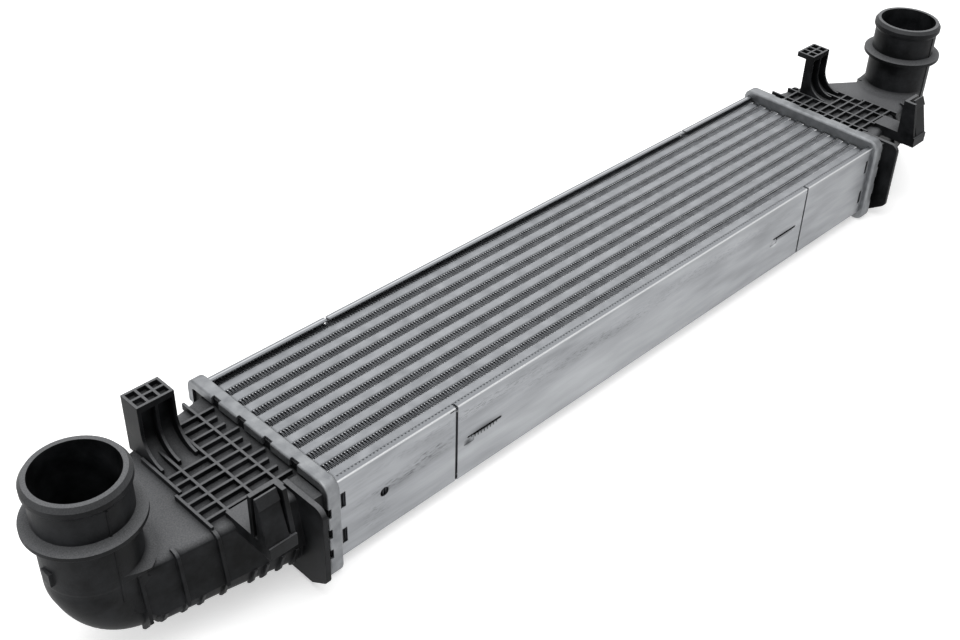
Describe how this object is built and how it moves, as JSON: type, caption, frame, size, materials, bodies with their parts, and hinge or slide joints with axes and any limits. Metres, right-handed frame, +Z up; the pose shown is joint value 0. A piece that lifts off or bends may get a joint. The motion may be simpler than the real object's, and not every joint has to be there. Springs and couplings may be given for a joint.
{
  "type": "intercooler",
  "caption": "Long flat-tube charge air cooler: brazed aluminium core with crimped plastic end tanks, upright hose spigots, ribbed tops, posts and spring clips.",
  "frame": {"origin": "centre of the whole part's box, on the plane that it rests on", "axes": "+X along the tubes towards the outlet tank, +Y towards the rear side plate, +Z up, the way the spigots point"},
  "size_m": [0.941, 0.1556, 0.1367],
  "materials": {
    "tube_aluminium": "mill finish, brazed matte",
    "fin_aluminium": "thin rolled strip, brazed matte",
    "turbulator_aluminium": "thin rolled strip",
    "plate_aluminium": "rolled sheet with fine lengthwise grain",
    "header_aluminium": "pressed sheet, brazed matte",
    "gasket_rubber": "moulded",
    "tank_nylon": "moulded, fine matte grain"
  },
  "bodies": {
    "root": {"tube_1": "tube_aluminium", "turbulator_1": "turbulator_aluminium", "tube_2": "tube_aluminium", "turbulator_2": "turbulator_aluminium", "tube_3": "tube_aluminium", "turbulator_3": "turbulator_aluminium", "tube_4": "tube_aluminium", "turbulator_4": "turbulator_aluminium", "tube_5": "tube_aluminium", "turbulator_5": "turbulator_aluminium", "tube_6": "tube_aluminium", "turbulator_6": "turbulator_aluminium", "tube_7": "tube_aluminium", "turbulator_7": "turbulator_aluminium", "tube_8": "tube_aluminium", "turbulator_8": "turbulator_aluminium", "tube_9": "tube_aluminium", "turbulator_9": "turbulator_aluminium", "fin_1": "fin_aluminium", "fin_2": "fin_aluminium", "fin_3": "fin_aluminium", "fin_4": "fin_aluminium", "fin_5": "fin_aluminium", "fin_6": "fin_aluminium", "fin_7": "fin_aluminium", "fin_8": "fin_aluminium", "fin_9": "fin_aluminium", "fin_10": "fin_aluminium", "front_side_plate": "plate_aluminium", "rear_side_plate": "plate_aluminium", "inlet_header": "header_aluminium", "inlet_gasket": "gasket_rubber", "inlet_tank": "tank_nylon", "outlet_header": "header_aluminium", "outlet_gasket": "gasket_rubber", "outlet_tank": "tank_nylon"}
  },
  "joints": []
}
